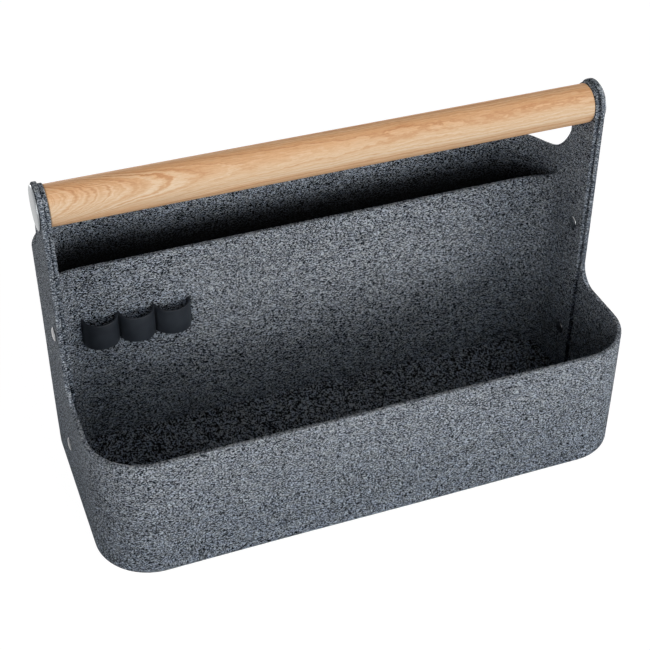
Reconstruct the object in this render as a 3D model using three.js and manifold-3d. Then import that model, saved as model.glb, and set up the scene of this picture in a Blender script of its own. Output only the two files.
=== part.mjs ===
// Portable desk organizer: a felt tote with an upright divider, two ears and a round wooden handle.
// Units are millimetres. X runs along the handle, -Y is the open front, +Z is up.
// The origin lies on the floor, below the middle of the plan.

import * as THREE from 'three';
import { mergeVertices } from 'three/addons/utils/BufferGeometryUtils.js';
import Module from 'manifold-3d';

const wasm = await Module();
wasm.setup();
const { Manifold, Mesh: SolidMesh } = wasm;

// Felt tub
const FELT = 3.3;               // thickness of every felt sheet
const WIDTH = 400;              // outside of the side walls
const DEPTH = 195;              // outside of the front and rear walls
const CORNER_R = 41;            // outside radius of the four upright corners
const FRONT_H = 98.3;           // height of the front wall
const REAR_H = 177.4;           // height of the rear wall
const FRONT_FILLET = 16;        // hollow curve from the front rim up to the ear
const REAR_FILLET = 50.5;       // hollow curve from the rear rim up to the ear

// Ears and handle
const EAR_Y = 7.2;              // middle of the ears, seen from the side
const AXIS_Z = 242.3;           // height of the handle's axis
const OUTER_EAR_R = 16.6;       // half width and top radius of the outer ear
const INNER_EAR_R = 15;         // half width and top radius of the inner ear
const HANDLE_R = 14;
const HANDLE_EDGE = 0.8;        // rounding of the dowel's ends

// Divider panel
const DIVIDER_Y = 50.7;         // front face of the divider
const DIVIDER_R = 25.5;         // outside radius of its two upright bends
const DIVIDER_H = 156.2;        // height of its top edge
const DIVIDER_FILLET = 44.4;    // hollow curve from the top edge up to the ear

// Fasteners
const STUD_R = 3;               // threaded stud of an end disc
const STUD_REACH = 16;          // how far the stud enters the dowel
const STUD_TIP = 0.8;           // chamfer of the stud's tip
const DISC_R = 14.9;
const DISC_RIM = 1.3;           // thickness at the rim
const DISC_RISE = 0.8;          // crown of the disc above its rim
const DISC_EDGE = 0.6;          // rounding of the rim
const DISC_BREAK = 0.2;         // small chamfer where the disc meets the felt
const INSERT_R = 5;
const INSERT_LENGTH = 17.5;
const INSERT_RECESS = 0.3;      // how far the insert lies below the end of the dowel
const INSERT_RIDGES = 4;
const INSERT_RIDGE = 0.8;       // depth of the grooves between the ridges
const INSERT_COLLAR = 1;        // plain ring at the mouth
const BORE_RELIEF = 0.2;        // bore of the dowel past the insert
const RIVET_R = 4.9;
const RIVET_H = 1.6;
const RIVET_SKIRT = 0.4;        // upright edge below the dome
const RIVET_POST_R = 2;
const RIVET_SOCKET = 1;         // depth of the cap's socket
const RIVET_Y = 4;              // rivets sit a little in front of the middle of the ears
const RIVET_Z = [43.9, 143.4];  // heights of the lower and upper rivets

// Pen loops
const LOOP_COUNT = 3;
const LOOP_PITCH = 27;          // from one arch to the next
const LOOP_INSET = 25.2;        // from the left side wall to the row of loops
const LOOP_BAND = 1.4;          // thickness of the band
const LOOP_GAP = 0.6;           // between the legs of neighbouring arches
const LOOP_REACH = 12.3;        // how far an arch stands off the divider
const LOOP_Z = 94;              // underside of the band
const LOOP_H = 21;
const BACKING = 1.4;            // thickness of the strip behind the divider
const BACKING_MARGIN = 5;
const BACKING_CORNER = 4;
const STAKE = 1;                // thickness of the flattened tongue ends
const STAKE_INSET = 1;          // flattened ends stay this far below and above the slits' ends

// Clearances
const LAYER_GAP = 0.1;          // between the two felt layers, and at the ends of the dowel
const SEAT_GAP = 0.1;           // under the divider panel and below clamped heads
const BASE_GAP = 0.3;           // between the base sheet and the wall round it
const HOLE_GAP = 0.25;          // round posts, studs and tongues
const OVERRUN = 5;              // how far a cutting shape runs past the piece that it cuts

// Facets
const CORNER_STEPS = 12;        // in a quarter turn of the upright corners and bends
const FILLET_STEPS = 16;        // in each curve of the side outlines
const HANDLE_FACETS = 56;
const DISC_FACETS = 44;
const SMALL_FACETS = 20;        // rivets, inserts, posts and the holes they pass through

// Derived positions
const flangeX = WIDTH / 2 - FELT - LAYER_GAP;     // outer face of the divider's side flanges
const innerX = flangeX - FELT;                    // inner face of those flanges
const handleHalf = innerX - LAYER_GAP;
const dividerBack = DIVIDER_Y + FELT;
const loopLeft = LOOP_INSET - WIDTH / 2;          // left end of the row of pen loops
const archHalf = (LOOP_PITCH - LOOP_GAP) / 2;     // outside half width of one arch
const tongueWidth = LOOP_GAP + LOOP_BAND;         // tongues that pass through slits in the divider
const sides = [['left', -1], ['right', 1]];

// Turns a closed three.js geometry into a solid that can be cut and joined.
function toSolid(geometry) {
  const plain = geometry.clone();
  plain.deleteAttribute('normal');
  plain.deleteAttribute('uv');
  const merged = mergeVertices(plain, 1e-4);
  const index = merged.index.array;
  const faces = [];
  for (let i = 0; i < index.length; i += 3) {
    const [a, b, c] = [index[i], index[i + 1], index[i + 2]];
    if (a !== b && b !== c && c !== a) faces.push(a, b, c);
  }
  return new Manifold(new SolidMesh({
    numProp: 3,
    vertProperties: new Float32Array(merged.attributes.position.array),
    triVerts: new Uint32Array(faces),
  }));
}

function toGeometry(solid) {
  const mesh = solid.getMesh();
  const geometry = new THREE.BufferGeometry();
  geometry.setAttribute('position', new THREE.BufferAttribute(new Float32Array(mesh.vertProperties), 3));
  geometry.setIndex(new THREE.BufferAttribute(new Uint32Array(mesh.triVerts), 1));
  const faceted = geometry.toNonIndexed();
  faceted.computeVertexNormals();
  return faceted;
}

function cut(solid, tools) {
  return tools.reduce((rest, tool) => rest.subtract(tool), solid);
}

function join(solids) {
  return solids.reduce((whole, piece) => whole.add(piece));
}

function extruded(shape, depth, steps) {
  return new THREE.ExtrudeGeometry(shape, { depth, bevelEnabled: false, curveSegments: steps });
}

// Upright prism over a plan outline in X and Y.
function prismZ(shape, z0, height, steps = CORNER_STEPS) {
  const geometry = extruded(shape, height, steps);
  geometry.translate(0, 0, z0);
  return toSolid(geometry);
}

// Prism along X over a side outline whose first coordinate is Y and second is Z.
function prismX(shape, x0, length, steps) {
  const geometry = extruded(shape, length, steps);
  const axes = new THREE.Matrix4().makeBasis(
    new THREE.Vector3(0, 1, 0), new THREE.Vector3(0, 0, 1), new THREE.Vector3(1, 0, 0));
  geometry.applyMatrix4(axes.setPosition(x0, 0, 0));
  return toSolid(geometry);
}

// Prism along -Y over an outline in X and Z, from its rear face forward.
function prismY(shape, yBack, length, steps = 6) {
  const geometry = extruded(shape, length, steps);
  const axes = new THREE.Matrix4().makeBasis(
    new THREE.Vector3(1, 0, 0), new THREE.Vector3(0, 0, 1), new THREE.Vector3(0, -1, 0));
  geometry.applyMatrix4(axes.setPosition(0, yBack, 0));
  return toSolid(geometry);
}

// Body turned about a line along X. Outline points are [distance from the middle plane, radius];
// they run from the inner end outwards over the outside of the body.
function turned(outline, side, y, z, segments = SMALL_FACETS) {
  const points = [...outline, outline[0]].map(([along, radius]) => new THREE.Vector2(radius, along));
  const geometry = new THREE.LatheGeometry(points, segments);
  geometry.rotateZ(-Math.PI / 2);
  if (side < 0) geometry.rotateY(Math.PI);
  geometry.translate(0, y, z);
  return toSolid(geometry);
}

function rodX(x0, x1, radius, y, z, segments = SMALL_FACETS) {
  const geometry = new THREE.CylinderGeometry(radius, radius, Math.abs(x1 - x0), segments);
  geometry.rotateZ(Math.PI / 2);
  geometry.translate((x0 + x1) / 2, y, z);
  return toSolid(geometry);
}

function block(x0, x1, y0, y1, z0, z1) {
  const geometry = new THREE.BoxGeometry(x1 - x0, y1 - y0, z1 - z0);
  geometry.translate((x0 + x1) / 2, (y0 + y1) / 2, (z0 + z1) / 2);
  return toSolid(geometry);
}

// Quarter circle or shallow crown as outline points, from radius r0 at height a0 to r1 at a1.
function bulge(a0, r0, a1, r1, steps) {
  const points = [];
  for (let i = 0; i <= steps; i += 1) {
    const turn = i / steps * Math.PI / 2;
    points.push([a0 + (a1 - a0) * Math.sin(turn), r1 + (r0 - r1) * Math.cos(turn)]);
  }
  return points;
}

function roundedRectangle(path, halfX, halfY, radius) {
  path.moveTo(-halfX + radius, -halfY);
  path.lineTo(halfX - radius, -halfY);
  path.absarc(halfX - radius, -halfY + radius, radius, -Math.PI / 2, 0);
  path.lineTo(halfX, halfY - radius);
  path.absarc(halfX - radius, halfY - radius, radius, 0, Math.PI / 2);
  path.lineTo(-halfX + radius, halfY);
  path.absarc(-halfX + radius, halfY - radius, radius, Math.PI / 2, Math.PI);
  path.lineTo(-halfX, -halfY + radius);
  path.absarc(-halfX + radius, -halfY + radius, radius, Math.PI, 1.5 * Math.PI);
  return path;
}

// Side outline of the tub: front wall, front fillet, ear, rear fillet, rear wall.
function tubProfile() {
  const front = EAR_Y - OUTER_EAR_R;
  const rear = EAR_Y + OUTER_EAR_R;
  const reach = DEPTH / 2 + OVERRUN;
  const shape = new THREE.Shape();
  shape.moveTo(-reach, 0);
  shape.lineTo(reach, 0);
  shape.lineTo(reach, REAR_H);
  shape.lineTo(rear + REAR_FILLET, REAR_H);
  shape.absarc(rear + REAR_FILLET, REAR_H + REAR_FILLET, REAR_FILLET, 1.5 * Math.PI, Math.PI, true);
  shape.lineTo(rear, AXIS_Z);
  shape.absarc(EAR_Y, AXIS_Z, OUTER_EAR_R, 0, Math.PI);
  shape.lineTo(front, FRONT_H + FRONT_FILLET);
  shape.absarc(front - FRONT_FILLET, FRONT_H + FRONT_FILLET, FRONT_FILLET, 0, -Math.PI / 2, true);
  shape.lineTo(-reach, FRONT_H);
  shape.closePath();
  return shape;
}

// Side outline of the divider panel: straight front edge, ear, rear fillet, level top of the divider.
function panelProfile() {
  const front = EAR_Y - INNER_EAR_R;
  const rear = EAR_Y + INNER_EAR_R;
  const foot = FELT + SEAT_GAP;
  const reach = Math.max(dividerBack, rear + DIVIDER_FILLET) + FELT;
  const shape = new THREE.Shape();
  shape.moveTo(front, foot);
  shape.lineTo(reach, foot);
  shape.lineTo(reach, DIVIDER_H);
  shape.lineTo(rear + DIVIDER_FILLET, DIVIDER_H);
  shape.absarc(rear + DIVIDER_FILLET, DIVIDER_H + DIVIDER_FILLET, DIVIDER_FILLET,
    1.5 * Math.PI, Math.PI, true);
  shape.lineTo(rear, AXIS_Z);
  shape.absarc(EAR_Y, AXIS_Z, INNER_EAR_R, 0, Math.PI);
  shape.closePath();
  return shape;
}

// Plan of the divider panel: left flange, bend, divider, bend, right flange.
function panelPlan() {
  const front = EAR_Y - INNER_EAR_R - OVERRUN;
  const bendX = flangeX - DIVIDER_R;
  const bendY = dividerBack - DIVIDER_R;
  const inside = DIVIDER_R - FELT;
  const shape = new THREE.Shape();
  shape.moveTo(flangeX, front);
  shape.lineTo(flangeX, bendY);
  shape.absarc(bendX, bendY, DIVIDER_R, 0, Math.PI / 2);
  shape.lineTo(-bendX, dividerBack);
  shape.absarc(-bendX, bendY, DIVIDER_R, Math.PI / 2, Math.PI);
  shape.lineTo(-flangeX, front);
  shape.lineTo(-innerX, front);
  shape.lineTo(-innerX, bendY);
  shape.absarc(-bendX, bendY, inside, Math.PI, Math.PI / 2, true);
  shape.lineTo(bendX, DIVIDER_Y);
  shape.absarc(bendX, bendY, inside, Math.PI / 2, 0, true);
  shape.lineTo(innerX, front);
  shape.closePath();
  return shape;
}

// Holes that every rivet post and stud needs in both felt layers of the ears.
function earHoles() {
  const far = WIDTH / 2 + OVERRUN;
  const near = innerX - OVERRUN;
  const holes = [];
  for (const [, side] of sides) {
    const [from, to] = [side * near, side * far];
    for (const z of RIVET_Z) holes.push(rodX(from, to, RIVET_POST_R + HOLE_GAP, RIVET_Y, z));
    holes.push(rodX(from, to, STUD_R + HOLE_GAP, EAR_Y, AXIS_Z));
  }
  return holes;
}

function outerShell() {
  const ring = roundedRectangle(new THREE.Shape(), WIDTH / 2, DEPTH / 2, CORNER_R);
  ring.holes.push(roundedRectangle(new THREE.Path(), WIDTH / 2 - FELT, DEPTH / 2 - FELT, CORNER_R - FELT));
  const walls = prismZ(ring, 0, AXIS_Z + OUTER_EAR_R + OVERRUN);
  const profile = prismX(tubProfile(), -WIDTH, 2 * WIDTH, FILLET_STEPS);
  return cut(walls.intersect(profile), earHoles());
}

function innerPanel() {
  const sheet = prismZ(panelPlan(), 0, AXIS_Z + INNER_EAR_R + OVERRUN);
  const profile = prismX(panelProfile(), -WIDTH, 2 * WIDTH, FILLET_STEPS);
  const slits = tongues().map((x) => block(
    x - tongueWidth / 2 - HOLE_GAP, x + tongueWidth / 2 + HOLE_GAP,
    DIVIDER_Y - OVERRUN, dividerBack + OVERRUN,
    LOOP_Z - HOLE_GAP, LOOP_Z + LOOP_H + HOLE_GAP));
  return cut(sheet.intersect(profile), [...earHoles(), ...slits]);
}

function basePanel() {
  const inset = FELT + BASE_GAP;
  const plan = roundedRectangle(new THREE.Shape(), WIDTH / 2 - inset, DEPTH / 2 - inset, CORNER_R - inset);
  return prismZ(plan, 0, FELT);
}

// Turned dowel with rounded ends and a blind bore for the insert in each of them.
function handleBar() {
  const edge = bulge(handleHalf - HANDLE_EDGE, HANDLE_R, handleHalf, HANDLE_R - HANDLE_EDGE, 4);
  const mirrored = [...edge].reverse().map(([along, radius]) => [-along, radius]);
  const outline = [[-handleHalf, 0], ...mirrored, ...edge, [handleHalf, 0]];
  const dowel = turned(outline, 1, EAR_Y, AXIS_Z, HANDLE_FACETS);
  const bottom = handleHalf - INSERT_RECESS - INSERT_LENGTH - BORE_RELIEF;
  const bores = sides.map(([, side]) => rodX(
    side * bottom, side * (handleHalf + OVERRUN), INSERT_R + HOLE_GAP, EAR_Y, AXIS_Z));
  return cut(dowel, bores);
}

// Brass sleeve in the end of the dowel, with ridges that grip the wood.
function handleInsert(side) {
  const outer = handleHalf - INSERT_RECESS;
  const inner = outer - INSERT_LENGTH;
  const bore = STUD_R + HOLE_GAP;
  const root = INSERT_R - INSERT_RIDGE;
  const pitch = (INSERT_LENGTH - INSERT_COLLAR) / (INSERT_RIDGES + 0.5);
  const outline = [[inner, bore], [inner, root]];
  for (let i = 0; i < INSERT_RIDGES; i += 1) {
    const start = inner + (i + 0.25) * pitch;
    const end = start + 0.9 * pitch;
    outline.push([start, root], [end - 0.2 * pitch, INSERT_R], [end, INSERT_R], [end, root]);
  }
  const collar = outer - INSERT_COLLAR;
  outline.push([collar, root], [collar, INSERT_R], [outer, INSERT_R], [outer, bore]);
  return turned(outline, side, EAR_Y, AXIS_Z);
}

// Crowned metal disc outside the ear, in one piece with the stud that holds the dowel.
function handleDisc(side) {
  const seat = WIDTH / 2 + SEAT_GAP;
  const tip = handleHalf - STUD_REACH;
  const outline = [[tip, 0], [tip, STUD_R - STUD_TIP], [tip + STUD_TIP, STUD_R], [seat, STUD_R]];
  outline.push([seat, DISC_R - DISC_BREAK], [seat + DISC_BREAK, DISC_R]);
  outline.push(...bulge(seat + DISC_RIM - DISC_EDGE, DISC_R, seat + DISC_RIM, DISC_R - DISC_EDGE, 3));
  for (const part of [0.75, 0.5, 0.25, 0]) {
    outline.push([seat + DISC_RIM + DISC_RISE * (1 - part * part), part * DISC_R]);
  }
  return turned(outline, side, EAR_Y, AXIS_Z, DISC_FACETS);
}

// Domed rivet head outside the ear, with the post that runs through both felt layers.
function rivetHead(side, z) {
  const seat = WIDTH / 2 + SEAT_GAP;
  const tip = innerX - SEAT_GAP - RIVET_SOCKET + HOLE_GAP;
  const outline = [[tip, 0], [tip, RIVET_POST_R], [seat, RIVET_POST_R], [seat, RIVET_R]];
  outline.push(...bulge(seat + RIVET_SKIRT, RIVET_R, seat + RIVET_H, 0, 6));
  return turned(outline, side, RIVET_Y, z);
}

// Domed cap inside the ear, pressed over the end of the post.
function rivetCap(side, z) {
  const seat = innerX - SEAT_GAP;
  const hole = RIVET_POST_R + HOLE_GAP;
  const crown = bulge(seat - RIVET_SKIRT, RIVET_R, seat - RIVET_H, 0, 6).reverse();
  const bottom = seat - RIVET_SOCKET;
  const outline = [...crown, [seat, RIVET_R], [seat, hole], [bottom, hole], [bottom, 0]];
  return turned(outline, side, RIVET_Y, z);
}

// Middles of the tongues: one at each end of the row and one between two loops.
function tongues() {
  const end = tongueWidth / 2;
  const middles = [loopLeft + end];
  for (let i = 1; i < LOOP_COUNT; i += 1) middles.push(loopLeft + i * LOOP_PITCH);
  middles.push(loopLeft + LOOP_COUNT * LOOP_PITCH - end);
  return middles;
}

// Plan of one arch: a half oval band whose legs end at the divider.
function archPlan(middle) {
  const foot = DIVIDER_Y - SEAT_GAP;
  const shape = new THREE.Shape();
  shape.moveTo(middle - archHalf, foot);
  shape.absellipse(middle, foot, archHalf, LOOP_REACH, Math.PI, 2 * Math.PI);
  shape.lineTo(middle + archHalf - LOOP_BAND, foot);
  shape.absellipse(middle, foot, archHalf - LOOP_BAND, LOOP_REACH - LOOP_BAND,
    2 * Math.PI, Math.PI, true);
  shape.closePath();
  return shape;
}

// Row of arches with tongues through the divider; the tongue ends are flattened behind the backing strip.
function penLoopStrip() {
  const back = dividerBack + SEAT_GAP + BACKING + SEAT_GAP;
  const top = LOOP_Z + LOOP_H;
  const [low, high] = [LOOP_Z + STAKE_INSET, top - STAKE_INSET];
  const pieces = [];
  for (let i = 0; i < LOOP_COUNT; i += 1) {
    pieces.push(prismZ(archPlan(loopLeft + (i + 0.5) * LOOP_PITCH), LOOP_Z, LOOP_H, 20));
  }
  for (const x of tongues()) {
    pieces.push(block(
      x - tongueWidth / 2, x + tongueWidth / 2, DIVIDER_Y - LOOP_BAND, back + STAKE / 2, LOOP_Z, top));
    pieces.push(block(x - tongueWidth, x + tongueWidth, back, back + STAKE, low, high));
  }
  return join(pieces);
}

function penLoopBacking() {
  const halfX = LOOP_COUNT * LOOP_PITCH / 2 + BACKING_MARGIN;
  const halfZ = LOOP_H / 2 + BACKING_MARGIN;
  const front = dividerBack + SEAT_GAP;
  const outline = roundedRectangle(new THREE.Shape(), halfX, halfZ, BACKING_CORNER);
  const strip = prismY(outline, front + BACKING, BACKING)
    .translate([loopLeft + LOOP_COUNT * LOOP_PITCH / 2, 0, LOOP_Z + LOOP_H / 2]);
  const slots = tongues().map((x) => block(
    x - tongueWidth / 2 - HOLE_GAP, x + tongueWidth / 2 + HOLE_GAP,
    front - OVERRUN, front + BACKING + OVERRUN,
    LOOP_Z - HOLE_GAP, LOOP_Z + LOOP_H + HOLE_GAP));
  return cut(strip, slots);
}

const felt = { color: 0x5b5e64, roughness: 0.95, metalness: 0 };
const wood = { color: 0xd2a980, roughness: 0.55, metalness: 0 };
const brightMetal = { color: 0xb9babb, roughness: 0.3, metalness: 1 };
const brass = { color: 0xb08d4f, roughness: 0.35, metalness: 1 };
const blackPlastic = { color: 0x1f2226, roughness: 0.6, metalness: 0 };

const organizer = new THREE.Group();
organizer.name = 'desk_organizer';

function addPiece(name, solid, look) {
  const piece = new THREE.Mesh(toGeometry(solid), new THREE.MeshStandardMaterial(look));
  piece.name = name;
  organizer.add(piece);
}

addPiece('outer_shell', outerShell(), felt);
addPiece('inner_panel', innerPanel(), felt);
addPiece('base_panel', basePanel(), felt);
addPiece('handle_bar', handleBar(), wood);
addPiece('pen_loop_strip', penLoopStrip(), blackPlastic);
addPiece('pen_loop_backing', penLoopBacking(), blackPlastic);
for (const [label, side] of sides) {
  addPiece(`handle_disc_${label}`, handleDisc(side), brightMetal);
  addPiece(`handle_insert_${label}`, handleInsert(side), brass);
  for (const [level, z] of [['lower', RIVET_Z[0]], ['upper', RIVET_Z[1]]]) {
    addPiece(`rivet_head_${label}_${level}`, rivetHead(side, z), brightMetal);
    addPiece(`rivet_cap_${label}_${level}`, rivetCap(side, z), brightMetal);
  }
}

export default organizer;
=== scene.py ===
# %% [markdown]
# # A felt desk organizer with a wooden handle
#
# The real object is made of three die-cut sheets of stiff heather felt. One sheet
# is rolled into the tub and grows an ear on each side, one is bent into the divider
# and its side flanges, and one lies inside as the floor. A wooden dowel is clamped
# between the ears by two metal discs, rivets hold the layers together, and a row of
# black pen loops is pushed through slits in the divider.
#
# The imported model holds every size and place. This script loads it as a fixed frame
# and dresses it: each sheet is cut flat and then rolled up, the hard parts are turned
# or moulded finely, and every finish is made of shader nodes.

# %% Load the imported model
import math

import bmesh
import bpy
import numpy as np
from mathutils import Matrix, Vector
from mathutils.geometry import delaunay_2d_cdt


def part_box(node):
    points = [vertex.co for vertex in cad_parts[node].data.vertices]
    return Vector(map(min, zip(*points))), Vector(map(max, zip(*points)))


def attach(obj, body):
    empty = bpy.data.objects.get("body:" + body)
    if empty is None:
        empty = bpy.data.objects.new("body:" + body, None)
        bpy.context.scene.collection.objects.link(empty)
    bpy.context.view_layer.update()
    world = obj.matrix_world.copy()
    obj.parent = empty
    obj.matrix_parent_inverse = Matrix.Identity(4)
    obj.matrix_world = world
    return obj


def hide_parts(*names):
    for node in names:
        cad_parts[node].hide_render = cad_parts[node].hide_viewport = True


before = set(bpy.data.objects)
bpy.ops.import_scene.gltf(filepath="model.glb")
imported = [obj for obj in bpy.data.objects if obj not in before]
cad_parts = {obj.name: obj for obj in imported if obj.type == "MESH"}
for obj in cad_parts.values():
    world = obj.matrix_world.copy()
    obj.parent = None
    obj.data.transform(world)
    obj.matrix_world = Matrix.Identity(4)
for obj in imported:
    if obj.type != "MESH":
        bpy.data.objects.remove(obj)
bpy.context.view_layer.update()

print("parts in the frame:", len(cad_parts))

# %% [markdown]
# ## The camera
#
# The photograph looks down on the left front corner through a long lens. The place,
# the aim and the lens were found by fitting a pinhole camera to the outline, so the
# camera can be set once and every later difference is one of shape or finish. A long
# lens keeps the upright edges nearly parallel, as they are in the picture.

# %% Set the camera
def put_in_scene(name, data):
    made = bpy.data.objects.new(name, data)
    bpy.context.scene.collection.objects.link(made)
    return made


camera_data = bpy.data.cameras.new("photo_lens")
camera_data.sensor_width = 36
camera_data.lens = 78.70
camera = put_in_scene("photo_camera", camera_data)
camera.location = (-0.29330, -0.76783, 0.73072)
camera_aim = Vector((-0.007054, 0, 0.102347))
camera.rotation_euler = (camera_aim - camera.location).to_track_quat("-Z", "Y").to_euler()
bpy.context.scene.camera = camera
print("camera distance:", round((camera_aim - camera.location).length, 3))

# %% [markdown]
# ## Sizes of the felt
#
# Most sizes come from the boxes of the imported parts. The heights of the walls and the
# radii of the hollow curves aren't corners of any box, so they are named here.

# %% Read the felt sizes
MM = 0.001
shell_low, shell_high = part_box("outer_shell")
panel_low, panel_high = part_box("inner_panel")
base_low, base_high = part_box("base_panel")
disc_low, disc_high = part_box("handle_disc_left")
felt = base_high.z - base_low.z
axis_y = (disc_low.y + disc_high.y) / 2
axis_z = (disc_low.z + disc_high.z) / 2
outer_ear = shell_high.z - axis_z
inner_ear = panel_high.z - axis_z

CORNER_RADIUS = 41 * MM
FRONT_HEIGHT = 98.3 * MM
REAR_HEIGHT = 177.4 * MM
FRONT_HOLLOW = 16 * MM
REAR_HOLLOW = 50.5 * MM
DIVIDER_BEND = 25.5 * MM
DIVIDER_HEIGHT = 156.2 * MM
DIVIDER_HOLLOW = 44.4 * MM
RIM_ROUND = 0.5 * MM
CLOTH_STEP = 3 * MM
ARC_STEP = 1.5 * MM
print("felt thickness in mm:", round(felt / MM, 2))
print("ear radii in mm:", round(outer_ear / MM, 1), round(inner_ear / MM, 1))

# %% [markdown]
# ## Drawing outlines
#
# A die-cut outline is a chain of straight cuts joined by arcs. It could be a Bezier
# curve, but then its handles would have to be placed by eye. `rounded` takes corners
# with a radius each and puts in the arcs, so a whole ear is four corners. `stepped`
# adds points along straight stretches, because a sheet needs vertices where it bends.

# %% Draw outlines from rounded corners
def rounded(corners, step, closed=False):
    points = []
    count = len(corners)
    for i, (x, y, radius) in enumerate(corners):
        here = np.array([x, y], float)
        if radius == 0 or (not closed and i in (0, count - 1)):
            points.append(here)
            continue
        back = np.array(corners[i - 1][:2]) - here
        ahead = np.array(corners[(i + 1) % count][:2]) - here
        back /= np.linalg.norm(back)
        ahead /= np.linalg.norm(ahead)
        half = math.acos(np.clip(back @ ahead, -1, 1)) / 2
        centre = here + (back + ahead) / np.linalg.norm(back + ahead) * radius / math.sin(half)
        first = here + back * radius / math.tan(half) - centre
        sweep = math.pi - 2 * half
        if back[0] * ahead[1] - back[1] * ahead[0] > 0:
            sweep = -sweep
        parts = max(3, math.ceil(abs(sweep) * radius / step))
        for k in range(parts + 1):
            c, s = math.cos(sweep * k / parts), math.sin(sweep * k / parts)
            points.append(centre + [c * first[0] - s * first[1], s * first[0] + c * first[1]])
    return np.array(points)


def stepped(points, step, closed=False):
    ends = np.roll(points, -1, 0) if closed else points[1:]
    out = []
    for a, b in zip(points, ends):
        length = np.linalg.norm(b - a)
        if length > 0.001 * MM:
            parts = max(1, round(length / step))
            out += [a + (b - a) * k / parts for k in range(parts)]
    if not closed:
        out.append(points[-1])
    return np.array(out)


def rectangle(left, low, right, high, radius):
    corners = [(left, low), (right, low), (right, high), (left, high)]
    return [(x, y, radius) for x, y in corners]


tub_side = rounded([
    (shell_high.y, REAR_HEIGHT, 0),
    (axis_y + outer_ear, REAR_HEIGHT, REAR_HOLLOW),
    (axis_y + outer_ear, axis_z + outer_ear, outer_ear),
    (axis_y - outer_ear, axis_z + outer_ear, outer_ear),
    (axis_y - outer_ear, FRONT_HEIGHT, FRONT_HOLLOW),
    (shell_low.y, FRONT_HEIGHT, 0),
], ARC_STEP)
print("points in the side outline of the tub:", len(tub_side))

# %% [markdown]
# ## Rolling a flat sheet up
#
# Seen from above, each wall of felt is a chain of straight runs and quarter bends.
# `plan_run` measures distance along that chain and says, for any distance, where the
# middle of the felt is and which way is outward. A flat pattern drawn in distance and
# height can then be rolled up point by point without stretching, which is what the
# maker does with the real sheet.

# %% Follow a plan from above
def straight(first, last):
    first, last = np.array(first, float), np.array(last, float)
    length = np.linalg.norm(last - first)
    ahead = (last - first) / length

    def follow(t):
        return first + t[:, None] * ahead, np.tile([ahead[1], -ahead[0]], (len(t), 1))
    return length, follow


def bend(centre, radius, start_degrees):
    def follow(t):
        angle = math.radians(start_degrees) + t / radius
        out = np.column_stack([np.cos(angle), np.sin(angle)])
        return np.array(centre) + radius * out, out
    return radius * math.pi / 2, follow


def plan_run(parts):
    starts = np.concatenate([[0], np.cumsum([length for length, follow in parts])])

    def along(distance):
        distance = np.asarray(distance, float)
        spot, out = np.zeros((len(distance), 2)), np.zeros((len(distance), 2))
        part = np.clip(np.searchsorted(starts, distance, "right") - 1, 0, len(parts) - 1)
        for i, (length, follow) in enumerate(parts):
            here = part == i
            spot[here], out[here] = follow(distance[here] - starts[i])
        return spot, out

    return starts[-1], along


tub_x, tub_y, tub_r = shell_high.x - felt / 2, shell_high.y - felt / 2, CORNER_RADIUS - felt / 2
turn_x, turn_y = tub_x - tub_r, tub_y - tub_r
tub_length, tub_along = plan_run([
    straight((0, tub_y), (-turn_x, tub_y)), bend((-turn_x, turn_y), tub_r, 90),
    straight((-tub_x, turn_y), (-tub_x, -turn_y)), bend((-turn_x, -turn_y), tub_r, 180),
    straight((-turn_x, -tub_y), (turn_x, -tub_y)), bend((turn_x, -turn_y), tub_r, 270),
    straight((tub_x, -turn_y), (tub_x, turn_y)), bend((turn_x, turn_y), tub_r, 0),
    straight((turn_x, tub_y), (0, tub_y)),
])
print("length of felt round the tub:", round(tub_length, 4), "m")

# %% [markdown]
# ## Felt is never dead flat
#
# A pressed sheet keeps slow waves of a few tenths of a millimetre, which stop its long
# edges from looking ruled. They depend on the place in space and not on the sheet, so
# two layers that lie against each other swell together and never cut into each other.

# %% Roll a flat point up and let the sheet swell a little
WAVE_HEIGHT = 0.12 * MM


def swell(x, y, z):
    first = np.sin(31 * x + 17 * z + 1)
    second = np.sin(29 * y - 23 * x + 41 * z)
    third = np.sin(37 * y - 19 * z + 2)
    return WAVE_HEIGHT * (first + second + third)


def rolled(along):
    def place(u, z, w):
        spot, out = along(u)
        lift = w + swell(spot[:, 0], spot[:, 1], z)
        return np.column_stack([spot + out * lift[:, None], z])
    return place


print("the largest swell in mm:", round(3 * WAVE_HEIGHT / MM, 2))

# %% [markdown]
# ## Cutting a sheet
#
# A sheet of felt has two faces and a cut edge. The cut edge of a pressed felt is a
# little rounded, and it catches the light as a pale line, so it is worth real
# geometry: a few rows of quads run from one face to the other round every outline and
# hole. `inset` draws those rows, each a little further in than the outline. Where two
# ends of the felt meet at a seam there is no cut edge, so `cut` is 0 and nothing moves.

# %% Draw a loop a little further in
SHARPEST_LEAN = 0.4


def inset(loop, cut, depth):
    ahead = np.roll(loop, -1, 0) - loop
    ahead /= np.linalg.norm(ahead, axis=1)[:, None]
    inward = np.column_stack([-ahead[:, 1], ahead[:, 0]]) * cut[:, None]
    before = np.roll(inward, 1, 0)
    lean = 1 + (inward * before).sum(1)
    return loop + depth * (inward + before) / np.maximum(lean, SHARPEST_LEAN)[:, None]


trial = np.array([(0, 0), (10, 0), (10, 10), (0, 10)], float)
print("a square of side 10, drawn 1 further in:", inset(trial, np.ones(4), 1).tolist())

# %% [markdown]
# ## Filling the faces of a sheet
#
# The two faces are filled with a constrained triangulation over evenly scattered
# points, because a plain grid couldn't follow ears, slits and holes. The points stand
# in staggered rows and are nudged at random, so that no long rows of edges can show in
# the light, and none stands so close to an outline that it would make a sliver.

# %% Scatter points and join them into triangles
ROW_SHARE = 0.866
NUDGE = 0.22
CLEARANCE = 0.55
WELD_DISTANCE = 1e-9


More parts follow.
